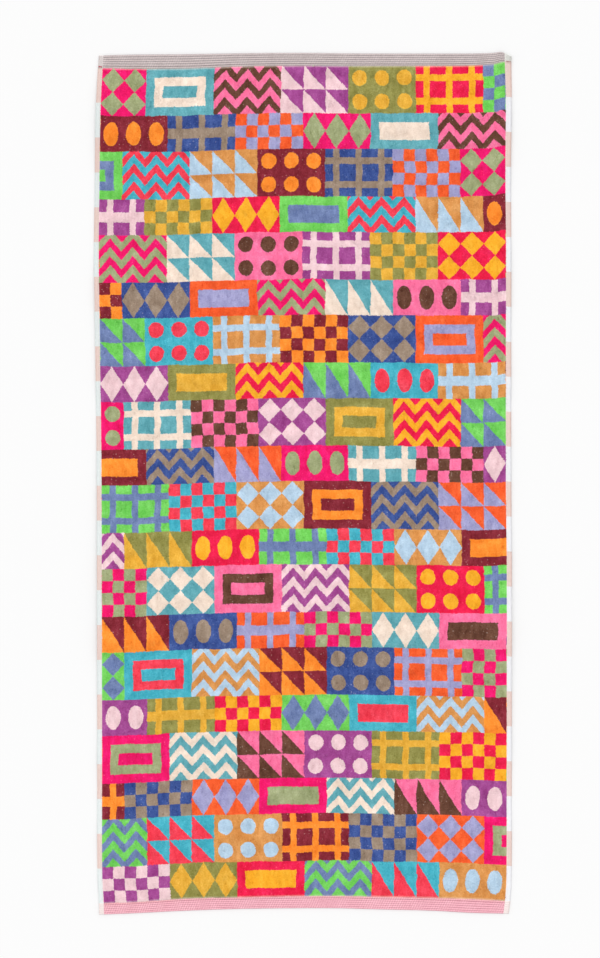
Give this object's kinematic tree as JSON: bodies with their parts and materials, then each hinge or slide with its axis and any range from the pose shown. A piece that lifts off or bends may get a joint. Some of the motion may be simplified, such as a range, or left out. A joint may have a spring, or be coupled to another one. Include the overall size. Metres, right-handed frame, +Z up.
{
  "type": "bath towel",
  "caption": "Bath towel of sheared terry cloth with a multi-coloured patchwork pile, ribbed end hems and narrow side hems, laid out flat.",
  "frame": {"origin": "middle of the towel's outline, on the surface it lies on", "axes": "+Z up out of the towel's face, +Y along the towel towards its grey end hem, +X across it"},
  "size_m": [0.6918, 1.4278, 0.0102],
  "materials": {
    "terry": "sheared terry pile in many yarn colours"
  },
  "bodies": {
    "root": {"towel": "terry"}
  },
  "joints": []
}
